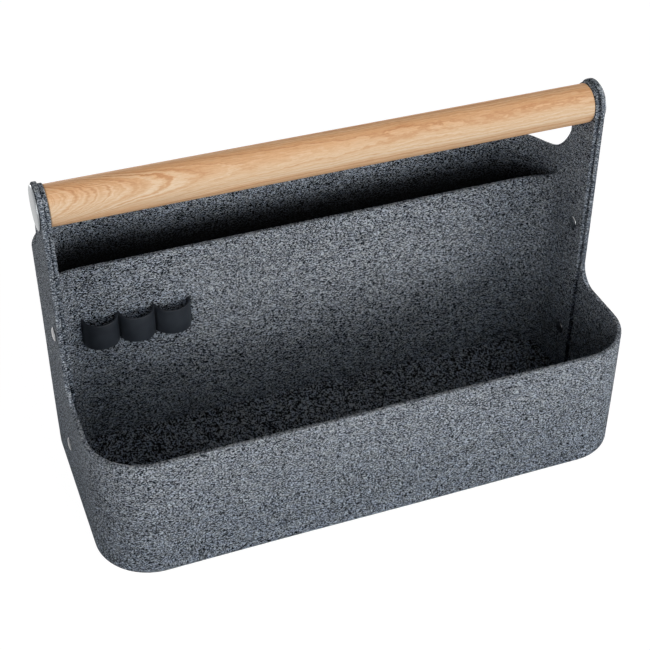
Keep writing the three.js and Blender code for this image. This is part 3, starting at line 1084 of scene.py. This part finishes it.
def felt_finish(name, lay, swing, shade):
    material, shader = start_finish(
        name, Roughness=0.95, Sheen_Weight=0.03, Sheen_Roughness=0.5, Specular_IOR_Level=0.05)
    place = own_place(shader)
    tone = calm_edges(shader, fibre_tone(shader, place, lay, swing))
    tone = plus(shader, tone, TONE_MIDDLE, clamp=True)
    colours = levels(shader, tone, [
        (stop, tuple(shade * v / PALEST for v in colour)) for stop, colour in HEATHER])
    tint = noise(shader, stretch(shader, place, lay), TINT_SCALE, detail=1.0)
    colours = blend(shader, 1.0, colours, levels(shader, tint, TINTS), mode="MULTIPLY")
    # painted shade: the colour darkens where the Ambient Occlusion node finds the felt closed in
    open_air = add(shader, "ShaderNodeAmbientOcclusion", {"Distance": AIR_REACH}, output=1,
                   samples=6)
    depth = times(shader, minus(shader, 1.0, open_air), OCCLUSION_SHADE_SWING)
    colours = add(shader, "ShaderNodeGamma", {0: colours, 1: plus(shader, depth, 1.0)})
    pocket = add(shader, "ShaderNodeAttribute", output=2, attribute_name="pocket_shade")
    light = times(shader, minus(shader, 1.0, pocket), PALEST)
    colours = add(shader, "ShaderNodeVectorMath", {0: colours, "Scale": light}, operation="SCALE")
    link(shader, colours, "Base Color")
    roughen(shader, tone, FELT_BUMP, FELT_BUMP_HEIGHT)
    return material


felts = [
    (tub, felt_finish("heather_felt_tub", (1, 1, 2.5), 1.0, 0.80)),
    (panel, felt_finish("heather_felt_divider", (1, 1, 2.5), 1.05, 0.77)),
    (floor_sheet, felt_finish("heather_felt_floor", (1.0, 0.75, 1), 1.35, 0.77)),
]
for piece, finish in felts:
    piece.data.materials.append(finish)
print("felt finishes:", [finish.name for piece, finish in felts])

# %% [markdown]
# ## Turned hardwood: the growth rings
#
# The dowel is cut from a board, so its growth rings are slices of wide cylinders whose
# centre, the pith, lies outside it, behind and below. The distance from the pith, read
# by one-dimensional noises at three scales, draws fine lines along the dowel. Near the
# left end the grain runs out of the surface at a slant that soon dies away, and there
# the same rings draw nested arches. A slow drift and small ripples keep the lines from
# looking ruled.

# %% Measure the distance from the pith
PITH_BEHIND, PITH_BELOW = 30 * MM, 26 * MM
LEFT_END = -193 * MM
SLANT, SLANT_FADE = 14 * MM, -16.0
DRIFT, RIPPLE = 3 * MM, 1.1 * MM
RINGS = [(2100.0, 1.0, 0.0), (1000.0, 1.1, 3.0), (380.0, 0.5, 7.0)]


def along_grain(shader, place, run, cross, **settings):
    return noise(shader, stretch(shader, place, (run, cross, cross)), 1.0, **settings)


def pith_distance(shader, place, along, deep, high, drift):
    ripples = swung(shader, along_grain(shader, place, 150, 420, roughness=0.6), RIPPLE)
    from_left = minus(shader, along, LEFT_END)
    slant = maths(shader, "EXPONENT", times(shader, from_left, SLANT_FADE))
    slant = times(shader, slant, SLANT)
    square = 0.0
    for value, pith in ((deep, axis_y + PITH_BEHIND), (high, axis_z - PITH_BELOW)):
        off = minus(shader, value, pith)
        square = plus(shader, square, times(shader, off, off))
    distance = maths(shader, "SQRT", square)
    for shift in (slant, drift, ripples):
        distance = plus(shader, distance, shift)
    return distance


def ring_tone(shader, distance):
    tone = 0.5
    for scale, swing, seed in RINGS:
        grown = add(shader, "ShaderNodeTexNoise", {
            "W": plus(shader, distance, seed), "Scale": scale, "Detail": 1.0},
            noise_dimensions="1D")
        tone = plus(shader, tone, swung(shader, grown, swing))
    return tone


pith_away = math.hypot(PITH_BEHIND, PITH_BELOW)
print("the pith lies", round(pith_away / MM), "mm from the dowel's axis")

# %% [markdown]
# ## Turned hardwood: colour
#
# The dowel takes in pale sapwood and a redder, darker tone. The redder tone comes up
# smoothly over the rear and top, as heartwood and as painted shade where the light falls
# off round the dowel, and shows once more along the underside as a painted warm
# reflection. Both have a ramp of their own, read by the same tone of rings and fine
# fibres, and short dark pores lie over them. An oiled surface is only faintly shiny.

# %% Make the wood
SAPWOOD = [
    (0.15, (0.60, 0.365, 0.205)), (0.5, (0.665, 0.475, 0.308)), (0.85, (0.715, 0.555, 0.395))]
# the redder ramp: heartwood and painted shade on the rear and top, painted warm reflection
# underneath
HEART_AND_SHADE_WOOD = [(0.15, (0.60, 0.28, 0.125)), (0.5, (0.75, 0.415, 0.205)), (0.85, (0.82, 0.54, 0.32))]
PORE = (0.50, 0.26, 0.12, 1)
PORE_FROM, PORE_SHARE = 0.62, 0.3
FIBRE_SWING = 0.9
WOOD_BUMP, WOOD_BUMP_HEIGHT = 0.1, 0.3 * MM
UPWARD, BACKWARD = 0.75, 0.65
HEART_SHADE_FROM, HEART_SHADE_TO = -0.5 * bar_radius, 0.62 * bar_radius
UNDER_FROM, UNDER_TO, UNDER_SHARE = -0.76 * bar_radius, -1.0 * bar_radius, 0.7


# rear and top take the redder ramp as heartwood and painted shade, the underside as a painted
# warm reflection
def heart_and_shade_share(shader, deep, high, drift):
    up = times(shader, minus(shader, high, axis_z), UPWARD)
    front = times(shader, minus(shader, axis_y, deep), BACKWARD)
    across = minus(shader, up, front)
    across = plus(shader, across, times(shader, drift, 1.5))
    heart_and_shade = add(shader, "ShaderNodeMapRange", {
        "Value": across, "From Min": HEART_SHADE_FROM, "From Max": HEART_SHADE_TO},
        interpolation_type="SMOOTHSTEP")
    under = add(shader, "ShaderNodeMapRange", {
        "Value": across, "From Min": UNDER_FROM, "From Max": UNDER_TO, "To Max": UNDER_SHARE})
    return maths(shader, "MAXIMUM", heart_and_shade, under)


def wood_finish():
    material, shader = start_finish("oiled_hardwood", Roughness=0.6, Specular_IOR_Level=0.1)
    place = own_place(shader)
    along, deep, high = add(shader, "ShaderNodeSeparateXYZ", {0: place}).node.outputs
    drift = swung(shader, along_grain(shader, place, 18, 60), DRIFT)
    tone = ring_tone(shader, pith_distance(shader, place, along, deep, high, drift))
    fibre = along_grain(shader, place, 90, 1500, detail=3.0, roughness=0.65)
    tone = plus(shader, tone, swung(shader, fibre, FIBRE_SWING), clamp=True)
    sap, heart_and_shade = levels(shader, tone, SAPWOOD), levels(shader, tone, HEART_AND_SHADE_WOOD)
    colours = blend(shader, heart_and_shade_share(shader, deep, high, drift), sap, heart_and_shade)
    pores = along_grain(shader, place, 160, 3000, detail=1.0)
    pores = times(shader, maths(shader, "GREATER_THAN", pores, PORE_FROM), PORE_SHARE)
    link(shader, blend(shader, pores, colours, PORE), "Base Color")
    roughen(shader, tone, WOOD_BUMP, WOOD_BUMP_HEIGHT)
    return material


dowel.data.materials.append(wood_finish())
print("dowel finish:", dowel.data.materials[0].name)

# %% [markdown]
# ## Metal, brass and black plastic
#
# The discs and the upper rivets are bright plated metal with a fine satin brushing,
# which a stretched noise in the roughness gives. The lower rivets get a darker copy of
# the same metal, a painted shade for the darker surroundings they mirror. The sleeves
# inside the dowel are turned brass. The pen loops are a matte moulding whose faint
# grain is that of an etched mould.

# %% Make the hard finishes
BRUSH_BUMP, MOULD_BUMP, HARD_BUMP_HEIGHT = 0.05, 0.15, 0.1 * MM
ETCH_SCALE, SMEAR_SCALE = 2600.0, 90.0
MATTE, SMEAR_SWING = 0.42, 0.15


def metal_finish(name, colour, roughness, swing, grain):
    material, shader = start_finish(name, Base_Color=(*colour, 1), Metallic=1.0)
    place = own_place(shader)
    brushed = noise(shader, stretch(shader, place, grain), 1.0)
    rough = plus(shader, times(shader, brushed, swing), roughness - swing / 2)
    link(shader, rough, "Roughness")
    roughen(shader, brushed, BRUSH_BUMP, HARD_BUMP_HEIGHT)
    return material


def plastic_finish(name, dark, pale):
    material, shader = start_finish(name, Specular_IOR_Level=0.35)
    place = own_place(shader)
    grain = noise(shader, place, ETCH_SCALE, detail=1.0)
    smear = noise(shader, place, SMEAR_SCALE)
    link(shader, levels(shader, smear, [(0.3, dark), (0.7, pale)]), "Base Color")
    rough = plus(shader, times(shader, smear, SMEAR_SWING), MATTE)
    link(shader, rough, "Roughness")
    roughen(shader, grain, MOULD_BUMP, HARD_BUMP_HEIGHT)
    return material


SATIN = (900, 900, 60)
TURNED = (3000, 60, 60)
bright = metal_finish("satin_bright_metal", (0.29, 0.305, 0.315), 0.28, 0.1, SATIN)
# painted shade: a darker copy of the plated metal, used for the lower rivets
shaded_nickel = metal_finish("nickel_painted_shade", (0.12, 0.125, 0.13), 0.25, 0.1, SATIN)
plated = metal_finish("nickel_plated_steel", (0.30, 0.305, 0.31), 0.22, 0.1, SATIN)
brass = metal_finish("turned_brass", (0.60, 0.42, 0.17), 0.35, 0.12, TURNED)
black = plastic_finish("matte_black_moulding", (0.015, 0.019, 0.026), (0.025, 0.031, 0.040))
for piece in discs:
    piece.data.materials.append(bright)
for piece in rivets:
    piece.data.materials.append(shaded_nickel if "lower" in piece.name else plated)
for piece in (loop_strip, backing_strip):
    piece.data.materials.append(black)
for label in ("left", "right"):
    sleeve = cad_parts[f"handle_insert_{label}"].data.materials
    sleeve.clear()
    sleeve.append(brass)
print("hard finishes:", [finish.name for finish in (bright, shaded_nickel, plated, brass, black)])

# %% [markdown]
# ## The floor and the background
#
# The background of the photograph is plain white. No lamp could make it so without
# bleaching the felt, so the floor and the world are white only to the camera and in
# reflections. For every other ray the floor is a matt grey sheet and the world nearly
# black. The floor that the camera sees also has a thin matt part, which keeps a trace
# of the shadow.

# %% Lay the floor and set the background
def lay_floor(reach, drop, grey, trace, glow):
    mesh = bpy.data.meshes.new("studio_floor")
    corners = [(-reach, -reach, 0), (reach, -reach, 0), (reach, reach, 0), (-reach, reach, 0)]
    mesh.from_pydata(corners, [], [(0, 1, 2, 3)])
    ground = put_in_scene("studio_floor", mesh)
    ground.location.z = -drop
    material = bpy.data.materials.new("pale_floor")
    material.use_nodes = True
    material.node_tree.nodes.clear()
    surface = material.node_tree.nodes.new("ShaderNodeOutputMaterial")
    matt = add(surface, "ShaderNodeBsdfDiffuse", {"Color": (grey, grey, grey, 1)})
    shadow = add(surface, "ShaderNodeBsdfDiffuse", {"Color": (trace, trace, trace, 1)})
    white = add(surface, "ShaderNodeEmission", {"Strength": glow})
    seen = add(surface, "ShaderNodeAddShader", {0: shadow, 1: white})
    rays = add(surface, "ShaderNodeLightPath").node.outputs
    direct = maths(surface, "MAXIMUM", rays["Is Camera Ray"], rays["Is Glossy Ray"])
    mixed = add(surface, "ShaderNodeMixShader", {0: direct, 1: matt, 2: seen})
    link(surface, mixed, "Surface")
    mesh.materials.append(material)
    return ground


def light_world(ambient):
    world = bpy.data.worlds.new("white_studio")
    bpy.context.scene.world = world
    world.use_nodes = True
    background = world.node_tree.nodes["Background"]
    rays = add(background, "ShaderNodeLightPath").node.outputs
    mirrored = maths(background, "MAXIMUM", rays["Is Glossy Ray"], rays["Is Transmission Ray"])
    seen = maths(background, "MAXIMUM", rays["Is Camera Ray"], mirrored)
    level = add(background, "ShaderNodeMapRange", {
        "Value": seen, "To Min": ambient, "To Max": 1.0})
    link(background, level, "Strength")
    background.inputs["Color"].default_value = (1, 1, 1, 1)


ground = lay_floor(reach=6, drop=0.5 * MM, grey=0.7, trace=0.12, glow=0.98)
light_world(0.01)
print("stage:", ground.name, "and", bpy.context.scene.world.name)

# %% [markdown]
# ## The lamps
#
# In the photograph the front wall is evenly bright, the divider is brightest in its
# upper half and the floor inside is dark, so the light comes from the front and low.
# Four soft lamps stand low round the front, strongest on the right, two higher ones
# reach into the tub, and three behind keep the rear wall from going black. Their powers
# were found by rendering each lamp alone and fitting the sum to the picture. The
# handle is brighter than that light makes it, as if by a lamp that is flagged off
# the felt, so one lamp from above is linked to the dowel alone.

# %% Hang the lamps
LAMP_DISTANCE = 2.8
LAMP_SIZE = 1.1
LAMP_AIM = Vector((0, 0, 0.12))
LAMPS = [
    ("low_left", -45, 5, 14.5), ("low_front", 15, 5, 14.5), ("low_right", 45, 5, 28.0),
    ("low_far_right", 75, 5, 10.0), ("mid_left", -45, 20, 9.5), ("high_front", 15, 35, 13.7),
    ("rear_right", 145, 8, 7), ("rear", 180, 8, 24), ("rear_left", 215, 8, 7),
]


def hang_lamp(name, around, up, power):
    lamp = bpy.data.lights.new(name, "AREA")
    lamp.shape = "RECTANGLE"
    lamp.size = lamp.size_y = LAMP_SIZE
    lamp.energy = power
    a, e = math.radians(around), math.radians(up)
    away = Vector((math.sin(a) * math.cos(e), -math.cos(a) * math.cos(e), math.sin(e)))
    made = put_in_scene(name, lamp)
    made.location = LAMP_AIM + LAMP_DISTANCE * away
    made.rotation_euler = (-away).to_track_quat("-Z", "Y").to_euler()
    return made


for lamp in LAMPS:
    hang_lamp(*lamp)
flagged = hang_lamp("flagged_for_handle", 0, 72, 23.0)
lit = bpy.data.collections.new("lit_by_flagged_lamp")
lit.objects.link(dowel)
flagged.light_linking.receiver_collection = lit
bpy.context.scene.view_settings.view_transform = "Standard"
